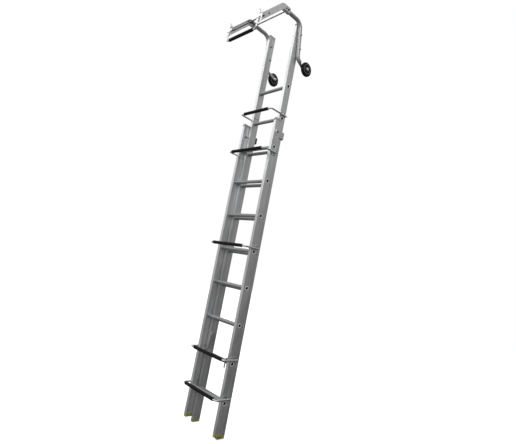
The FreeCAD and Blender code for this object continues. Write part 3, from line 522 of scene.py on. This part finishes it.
def make_rung(node, stile, body):
    """A ribbed tube with its ends swaged over both walls of the stiles."""
    low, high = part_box(node)
    middle = centre(node)
    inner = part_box(stile)[0][0]
    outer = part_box(stile)[1][0]
    lip = (high[2] - low[2]) / 2
    tube = lip - 2.5 * MM
    bore = tube - 2.5 * MM
    flutes = 30
    depth = 0.45 * MM

    def ribs(along, angle, radius):
        if abs(abs(radius) - tube) > MICRON:
            return radius
        fade = min(1.0, max(0.0, (inner - 7 * MM - abs(along)) / (6 * MM)))
        return radius - depth * fade * (0.5 - 0.5 * math.cos(flutes * angle))

    half = [(inner - 14 * MM, tube), (inner - 8 * MM, tube), (inner - 4 * MM, tube),
            (inner - 2.6 * MM, tube + 0.5 * MM), (inner - 1.9 * MM, lip - 0.5 * MM),
            (inner - 1.0 * MM, lip), (inner, lip), (inner, tube - 0.1 * MM),
            (outer, tube - 0.1 * MM), (outer, lip), (outer + 0.5 * MM, lip),
            (outer + 1.0 * MM, lip - 0.6 * MM), (high[0] - 0.1 * MM, lip - 1.6 * MM),
            (high[0], lip - 2.4 * MM), (high[0] - 0.3 * MM, bore + 1.4 * MM),
            (outer + 0.6 * MM, bore + 0.5 * MM), (outer, bore)]
    spans = [(inner - 14 * MM) * k / 4 for k in (-3, -2, -1, 0, 1, 2, 3)]
    profile = [(-x, r) for x, r in reversed(half)] + [(x, tube) for x in spans] + half
    shape = Shape()
    # The closing faces are the bore, given the near-black painted shade.
    shape.lathe(profile, flutes * 4, Matrix.Translation((0.0, middle.y, middle.z)), wobble=ribs,
                closing_slot=1)
    # Faces outside the stile's outer face are the flare, given the near-white painted highlight.
    for index, face in enumerate(shape.faces):
        if shape.slots[index] == 0 and all(abs(shape.verts[i][0]) > outer - 0.1 * MM for i in face):
            shape.slots[index] = 2
    shape.build(f"{node}_tube", body, [RUNG, BORE_PAINTED_SHADE, FLARE_PAINTED_SHEEN], sharp=50.0, replaced=[node])


# ---------------------------------------------------------------- bars, sleeves and clips

def make_sleeve(node, body):
    """A push-on rubber tube: rounded ends, two moulding lines and a groove near each end."""
    low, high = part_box(node)
    middle = centre(node)
    radius = (high[2] - low[2]) / 2
    inner = radius * 0.54
    half = (high[0] - low[0]) / 2
    end = [(half - 16 * MM, radius), (half - 15.5 * MM, radius - 0.6 * MM),
           (half - 14 * MM, radius - 0.6 * MM), (half - 13.5 * MM, radius),
           (half - 3 * MM, radius), (half - 1.2 * MM, radius - 0.5 * MM),
           (half - 0.3 * MM, radius - 1.5 * MM), (half, radius - 2.8 * MM), (half, inner + 0.8 * MM),
           (half - 1.0 * MM, inner)]
    profile = [(-x, r) for x, r in reversed(end)] + [(0.0, radius)] + end

    def seam(along, angle, r):
        turn = (angle / math.pi + 0.25) % 1.0
        return r + (0.25 * MM if r > radius * 0.9 and min(turn, 1.0 - turn) < 0.02 else 0.0)

    shape = Shape()
    shape.lathe(profile, 64, Matrix.Translation(middle), wobble=seam)
    shape.build(f"{node}_rubber", body, [SLEEVE], sharp=50.0, replaced=[node])


def strip(shape, path, widths, metal, matrix):
    """A bent strip of sheet: path is its middle line in the X-Z plane, widths its halves along Y."""
    sections = []
    for index, point in enumerate(path):
        before = Vector(path[max(index - 1, 0)])
        after = Vector(path[min(index + 1, len(path) - 1)])
        along = (after - before).normalized()
        normal = Vector((-along.y, along.x))
        half = widths[index]
        inner = Vector(point) - normal * metal / 2
        outer = Vector(point) + normal * metal / 2
        sections.append([(inner.x, -half, inner.y), (outer.x, -half, outer.y),
                         (outer.x, half, outer.y), (inner.x, half, inner.y)])
    shape.rings(sections, matrix)


def arc(cx, cy, radius, start, stop, steps):
    """Points of an arc in the X-Z plane; angles in degrees."""
    points = []
    for step in range(steps + 1):
        angle = math.radians(start + (stop - start) * step / steps)
        points.append((cx + radius * math.cos(angle), cy + radius * math.sin(angle)))
    return points


def make_saddle_clips(node, bars, body, name):
    """Pressed straps over the bars' arms, each with one bolted flange."""
    shape = Shape()
    heights = [centre(bar).z for bar in bars]
    metal = 2.3 * MM
    bend = 2.0 * MM
    for points in solids(node):
        low, high = limits(points)
        side = 1 if low.x > 0 else -1
        face = low.x if side > 0 else -high.x
        rod = min(heights, key=lambda h: abs(h - (low.z + high.z) / 2))
        up = 1 if high.z - rod > rod - low.z else -1
        far = high.x if side > 0 else -low.x
        reach = (far - face) / 2 - metal / 2
        flange = max(high.z - rod, rod - low.z)
        half = (high.y - low.y) / 2
        path = [(face + 0.1 * MM, -reach), (face + reach * 0.5, -reach)]
        path += arc(face + reach - metal / 2, 0.0, reach, -90, 90, 14)
        path += [(face + metal / 2 + bend + 1.0 * MM, reach)]
        path += arc(face + metal / 2 + bend, reach + bend, bend, -90, -180, 4)
        corner = flange - 5 * MM
        path += [(face + metal / 2, z) for z in (corner, flange - 2 * MM, flange - 0.7 * MM, flange)]
        rounded_end = [half * 0.90, half * 0.74, half * 0.5]
        widths = [half] * (len(path) - len(rounded_end)) + rounded_end
        matrix = Matrix.Translation((0, (low.y + high.y) / 2, rod)) @ Matrix.Diagonal((side, 1, up, 1))
        strip(shape, path, widths, metal, matrix)
    piece = shape.build(name, body, [CLIP], bevel=0.5 * MM, replaced=[node])
    fix_normals(piece)


def fix_normals(piece):
    """Turns every face outwards, where mirrored parts left some facing in."""
    work = bmesh.new()
    work.from_mesh(piece.data)
    bmesh.ops.recalc_face_normals(work, faces=work.faces[:])
    work.to_mesh(piece.data)
    work.free()


# ---------------------------------------------------------------- wheels

def make_wheel(label):
    """A treaded tyre on a ribbed nylon wheel with a pale rim ring and a steel bush."""
    body = f"wheel_{label}"
    side = SIDES[label]
    low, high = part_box(f"wheel_tyre_{label}")
    radius = (high[2] - low[2]) / 2
    across = high[0] - low[0]
    middle = centre(f"wheel_tyre_{label}")
    matrix = Matrix.Translation(middle) @ Matrix.Diagonal((side, 1, 1, 1))
    half = across / 2
    seat = radius - 15 * MM
    blocks = 36
    groove = 1.3 * MM
    groove_share = 0.24

    def tread(along, angle, r):
        if r < radius - 1.5 * MM:
            return r
        shift = 0.5 if along > 0 else 0.0
        phase = (angle / TURN * blocks + shift) % 1.0
        return r - (groove if phase < groove_share else 0.0)

    rim = [(half, seat + 1 * MM), (half, seat + 5 * MM), (half - 0.8 * MM, radius - 7 * MM),
           (half - 2.2 * MM, radius - 4 * MM), (half - 4.2 * MM, radius - 1.9 * MM),
           (half - 5.4 * MM, radius - 0.9 * MM), (half - 9 * MM, radius - 0.2 * MM),
           (1.2 * MM, radius), (0.9 * MM, radius - 1.6 * MM)]
    profile = ([(-x, r) for x, r in rim] + list(reversed(rim))
               + [(half - 0.6 * MM, seat), (-half + 0.6 * MM, seat)])
    tyre = Shape()
    tyre.lathe(profile, blocks * 8, matrix, wobble=tread)
    piece = tyre.build(f"tyre_{label}", body, [TYRE], sharp=28.0,
                       replaced=[f"wheel_tyre_{label}"])
    fix_normals(piece)

    hub_low, hub_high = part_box(f"wheel_hub_{label}")
    hub_half = (hub_high[0] - hub_low[0]) / 2
    hub = Shape()
    spokes = 8
    deep = 5.0 * MM
    face = [(half - 0.3 * MM, seat - 0.1 * MM), (half - 0.3 * MM, seat - 1.2 * MM),
            (half - 1.0 * MM, seat - 2.0 * MM), (half - 1.2 * MM, seat - 5.2 * MM),
            (half - 1.8 * MM, seat - 6.0 * MM)]
    dish = [(deep + 0.6 * MM, seat - 6.6 * MM), (deep, seat - 7.4 * MM), (deep, 19 * MM),
            (deep + 0.6 * MM, 18.2 * MM), (hub_half - 1.2 * MM, 16.6 * MM),
            (hub_half - 0.2 * MM, 15.6 * MM), (hub_half, 14.4 * MM), (hub_half, 9.2 * MM),
            (hub_half - 0.6 * MM, 8.6 * MM)]
    contour = face + dish
    hub.lathe([(-x, r) for x, r in reversed(contour)] + [(x, r) for x, r in contour], 96, matrix)
    ring = [(half - 0.2 * MM, seat - 1.6 * MM), (half + 0.4 * MM, seat - 2.2 * MM),
            (half + 0.5 * MM, seat - 5.0 * MM), (half - 0.4 * MM, seat - 5.8 * MM)]
    for mirror in (1, -1):
        hub.lathe([(x * mirror, r) for x, r in ring], 96, matrix, slot=1)
    base = deep - 0.5 * MM
    top = hub_half - 3.2 * MM
    for spoke in range(spokes):
        turn = Matrix.Rotation(TURN * (spoke + 0.5) / spokes, 4, "X")
        for mirror in (1, -1):
            sections = []
            for r, thick, high_x in ((17.0 * MM, 2.0 * MM, top), (24 * MM, 1.7 * MM, top - 1.2 * MM),
                                     (seat - 5.6 * MM, 1.9 * MM, half - 2.6 * MM)):
                sections.append([(base * mirror, -thick, r), (high_x * mirror, -thick * 0.6, r),
                                 (high_x * mirror, thick * 0.6, r), (base * mirror, thick, r)])
            hub.rings(sections, matrix @ turn)
    bush = [(hub_half + 0.2 * MM, 5.1 * MM), (hub_half + 0.3 * MM, 8.2 * MM),
            (hub_half - 0.4 * MM, 8.9 * MM)]
    hub.lathe([(-x, r) for x, r in reversed(bush)] + [(x, r) for x, r in bush], 48, matrix, slot=2)
    piece = hub.build(f"hub_{label}", body, [HUB, RIM, AXLE], sharp=35.0,
                      replaced=[f"wheel_hub_{label}"])
    fix_normals(piece)


# ---------------------------------------------------------------- end plugs

def rounded_rectangle(half_x, half_y, corner):
    steps = 5
    points = []
    for cx, cy, start in ((1, 1, 0), (-1, 1, 90), (-1, -1, 180), (1, -1, 270)):
        for step in range(steps + 1):
            angle = math.radians(start + 90 * step / steps)
            points.append((cx * (half_x - corner) + corner * math.cos(angle),
                           cy * (half_y - corner) + corner * math.sin(angle)))
    return points


# A plug's outline from its sole up to its tongue's tip: (height, inset from the full size), in mm.
PLUG_OUTLINE = [(0.0, 3.0), (0.4, 1.6), (1.4, 0.6), (3.0, 0.0), (6.4, 0.0), (6.8, 0.55), (8.0, 0.55),
                (8.4, 0.0), (10.4, 0.0), (10.8, 0.55), (12.0, 0.55), (12.4, 0.0), (14.4, 0.0),
                (14.8, 0.55), (16.0, 0.55), (16.4, 0.0), (19.2, 0.0), (20.0, 0.5), (20.0, 2.7),
                (52.5, 2.9), (54.0, 4.4)]
PLUG_CAP_HEIGHT = 20.0


def make_plugs(node, body, name, material):
    """Moulded end plugs: grooved sides, rounded tread bars on the sole and a tongue."""
    bar_pitch = 7.6 * MM
    bar_foot = 0.5 * MM
    bar_crown = -0.02 * MM
    shape = Shape()
    for points in solids(node):
        low, high = limits(points)
        middle = (low + high) / 2
        half_x = (high.x - low.x) / 2
        half_y = (high.y - low.y) / 2
        broad = [p for p in points if abs(p.x - middle.x) > half_x - 0.2 * MM]
        up = 1 if sum(p.z for p in broad) / len(broad) < middle.z else -1
        sole = low.z if up > 0 else high.z
        matrix = Matrix.Translation((middle.x, middle.y, sole)) @ Matrix.Diagonal((1, 1, up, 1))
        rings = []
        for height, inset in PLUG_OUTLINE:
            on_cap = height < PLUG_CAP_HEIGHT or inset < 1.0
            corner = max((3.2 if on_cap else 1.6) * MM - inset * MM, 0.8 * MM)
            outline = rounded_rectangle(half_x - inset * MM, half_y - inset * MM, corner)
            rings.append([(x, y, height * MM) for x, y in outline])
        shape.rings(rings, matrix)
        wide = half_x - 4.2 * MM
        for bar in range(-3, 4):
            y = bar * bar_pitch
            section = [[(x, y - 2.1 * MM, bar_foot), (x, y - 1.2 * MM, bar_crown),
                        (x, y + 1.2 * MM, bar_crown), (x, y + 2.1 * MM, bar_foot)]
                       for x in (-wide, wide)]
            shape.rings(section, matrix)
    piece = shape.build(name, body, [material], sharp=38.0, replaced=[node])
    fix_normals(piece)


# ---------------------------------------------------------------- carried-over CAD nodes

def dress(node, material, bevel=0.0):
    """Gives a CAD node its material, and rounds its edges where the real ones are rounded."""
    piece = NODES[node]
    if not piece.material_slots:
        piece.data.materials.append(material)
    for slot in piece.material_slots:
        slot.material = material
    if bevel:
        add_bevel(piece, bevel)


for label in SIDES:
    dress(f"base_stile_{label}", STILE)
    dress(f"fly_stile_{label}", STILE)
    dress(f"guide_bracket_{label}", CLIP, bevel=0.5 * MM)
    dress(f"hook_tube_{label}", TUBE)
    dress(f"hook_leg_{label}", LEG, bevel=0.5 * MM)
    dress(f"rung_hook_{label}", PLATE, bevel=0.6 * MM)
BASE_BARS = [f"base_bar_{index}" for index in range(1, 5)]
for bar in BASE_BARS + ["fly_bar", "hook_bar"]:
    dress(bar, ROD)
for node, material in (("guide_pads", PAD), ("guide_plates", HOOK_CLIP), ("hook_bar_clips", HOOK_CLIP)):
    dress(node, material, bevel=0.5 * MM)

for section in ("base", "fly"):
    body = f"{section}_section"
    for node in frame["record"]["behaviour"]["bodies"][body]:
        if node.startswith(f"{section}_rung_"):
            make_rung(node, f"{section}_stile_right", body)
        if "_bar_sleeve" in node:
            make_sleeve(node, body)
make_saddle_clips("base_bar_clips", BASE_BARS, "base_section", "base_clips")
make_saddle_clips("fly_bar_clips", ["fly_bar"], "fly_section", "fly_clips")
make_fasteners("base_bolts", "base_section", "base_fasteners", BOLT)
make_fasteners("fly_bolts", "fly_section", "fly_fasteners", BOLT)
make_fasteners("wheel_axles", "fly_section", "wheel_axle_bolts", AXLE)
for section in ("base", "fly"):
    make_plugs(f"{section}_feet", f"{section}_section", f"{section}_foot_plugs", FOOT_PLUG)
    make_plugs(f"{section}_caps", f"{section}_section", f"{section}_cap_plugs", CAP_PLUG)
make_cross_rods("hook_cross_rods", "fly_section", "hook_studs")
for label in SIDES:
    make_wheel(label)


# ---------------------------------------------------------------- stage, light and camera

FLOOR_REACH = 14.0
FLOOR_GLOW = 0.55
FLOOR_TOWARDS_KEY = [(0.0, 0.12), (0.8, 0.36)]
KEY_POWER = 30.0
FILL_POWER = 45.0
TOP_POWER = 12.0
ROOM_BY_HEIGHT = [(-0.9, 0.12), (-0.38, 0.20), (0.0, 0.30), (0.2, 0.45), (0.33, 0.60), (0.56, 0.76),
                  (0.9, 0.92)]
KEY_SIDE = (-0.66, -0.75, 0.0)
SIDE_GAIN = 0.40
WHITE = (1.0, 1.0, 1.0, 1.0)
CAMERA_AT = (2.12963, -1.82322, 1.07949)
CAMERA_TURN = (97.3026, -10.8671, 45.7698)  # tilt from straight down, roll and heading, in degrees
CAMERA_LENS = 27.378


def look_at(obj, target):
    obj.rotation_euler = (Vector(target) - obj.location).to_track_quat("-Z", "Y").to_euler()


def area_light(name, at, target, power, wide, tall):
    """A white softbox."""
    data = bpy.data.lights.new(name, "AREA")
    data.shape = "RECTANGLE"
    data.size, data.size_y = wide, tall
    data.energy = power
    light = bpy.data.objects.new(name, data)
    light.location = at
    scene.collection.objects.link(light)
    look_at(light, target)


floor_mesh = bpy.data.meshes.new("floor")
floor_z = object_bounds()[0][2]
corners = ((-1, -1), (1, -1), (1, 1), (-1, 1))
floor_mesh.from_pydata([(x * FLOOR_REACH, y * FLOOR_REACH, floor_z) for x, y in corners], [],
                       [(0, 1, 2, 3)])
floor = bpy.data.objects.new("floor", floor_mesh)
scene.collection.objects.link(floor)
floor_shader = Shader("floor_paper", Roughness=0.9)
floor_shader.principled.inputs["Base Color"].default_value = (0.90, 0.90, 0.90, 1.0)
floor_shader.principled.inputs["Emission Color"].default_value = WHITE
floor_shader.principled.inputs["Emission Strength"].default_value = FLOOR_GLOW
# The camera sees the floor evenly bright; all other rays see a dim floor whose colour is painted
# lighter towards the key side: painted light on the floor.
seen = floor_shader.node("ShaderNodeLightPath").outputs["Is Camera Ray"]
towards = floor_shader.node("ShaderNodeVectorMath", operation="DOT_PRODUCT")
towards.inputs[1].default_value = KEY_SIDE
floor_shader.link(floor_shader.coords, towards, 0)
unseen = floor_shader.node("ShaderNodeBsdfDiffuse")
floor_shader.link(floor_shader.ramp(towards.outputs["Value"], FLOOR_TOWARDS_KEY), unseen, "Color")
choice = floor_shader.node("ShaderNodeMixShader")
floor_shader.link(seen, choice, 0)
floor_shader.link(unseen.outputs["BSDF"], choice, 1)
floor_shader.link(floor_shader.principled.outputs["BSDF"], choice, 2)
floor_shader.link(choice.outputs["Shader"], floor_shader.tree.nodes["Material Output"], "Surface")
floor_mesh.materials.append(floor_shader.material)

area_light("key_softbox", (-2.6, -3.4, 4.6), (0.0, 0.0, 1.8), KEY_POWER, 3.2, 3.0)
area_light("fill_softbox", (2.6, -2.4, 4.2), (0.0, 0.0, 2.0), FILL_POWER, 2.0, 2.0)
area_light("top_softbox", (0.4, -0.4, 5.6), (0.0, 0.0, 1.5), TOP_POWER, 2.6, 2.6)

world = bpy.data.worlds.new("studio")
scene.world = world
world.use_nodes = True
tree = world.node_tree


def world_node(kind, **settings):
    made = tree.nodes.new(kind)
    for key, value in settings.items():
        setattr(made, key, value)
    return made


# The room is brighter overhead and towards the front left, and fades to grey below and behind.
direction = world_node("ShaderNodeTexCoord").outputs["Generated"]
split = world_node("ShaderNodeSeparateXYZ")
tree.links.new(direction, split.inputs["Vector"])
rise = world_node("ShaderNodeMapRange")
rise.inputs["From Min"].default_value = -1.0
tree.links.new(split.outputs["Z"], rise.inputs["Value"])
heights = world_node("ShaderNodeValToRGB")
while len(heights.color_ramp.elements) < len(ROOM_BY_HEIGHT):
    heights.color_ramp.elements.new(0.5)
for element, (z, grey) in zip(heights.color_ramp.elements, ROOM_BY_HEIGHT):
    element.position = (z + 1) / 2
    element.color = (grey, grey, grey, 1.0)
tree.links.new(rise.outputs["Result"], heights.inputs["Fac"])
towards_key = world_node("ShaderNodeVectorMath", operation="DOT_PRODUCT")
towards_key.inputs[1].default_value = KEY_SIDE
tree.links.new(direction, towards_key.inputs[0])
side_gain = world_node("ShaderNodeMath", operation="MULTIPLY_ADD")
side_gain.inputs[1].default_value = SIDE_GAIN
side_gain.inputs[2].default_value = 1.0
tree.links.new(towards_key.outputs["Value"], side_gain.inputs[0])
room = world_node("ShaderNodeVectorMath", operation="SCALE")
tree.links.new(heights.outputs["Color"], room.inputs[0])
tree.links.new(side_gain.outputs["Value"], room.inputs["Scale"])
backdrop = world_node("ShaderNodeMix", data_type="RGBA")
tree.links.new(world_node("ShaderNodeLightPath").outputs["Is Camera Ray"], backdrop.inputs[0])
tree.links.new(room.outputs["Vector"], backdrop.inputs[6])
backdrop.inputs[7].default_value = WHITE
tree.links.new(backdrop.outputs[2], tree.nodes["Background"].inputs["Color"])
tree.nodes["Background"].inputs["Strength"].default_value = 1.0

camera_data = bpy.data.cameras.new("camera")
camera_data.sensor_fit = "HORIZONTAL"
camera_data.sensor_width = 36.0
camera_data.lens = CAMERA_LENS
camera_data.clip_end = 100.0
camera = bpy.data.objects.new("camera", camera_data)
turn = Euler([math.radians(angle) for angle in CAMERA_TURN]).to_matrix().to_4x4()
camera.matrix_world = Matrix.Translation(CAMERA_AT) @ turn
scene.collection.objects.link(camera)
scene.camera = camera
scene.view_settings.view_transform = "Standard"
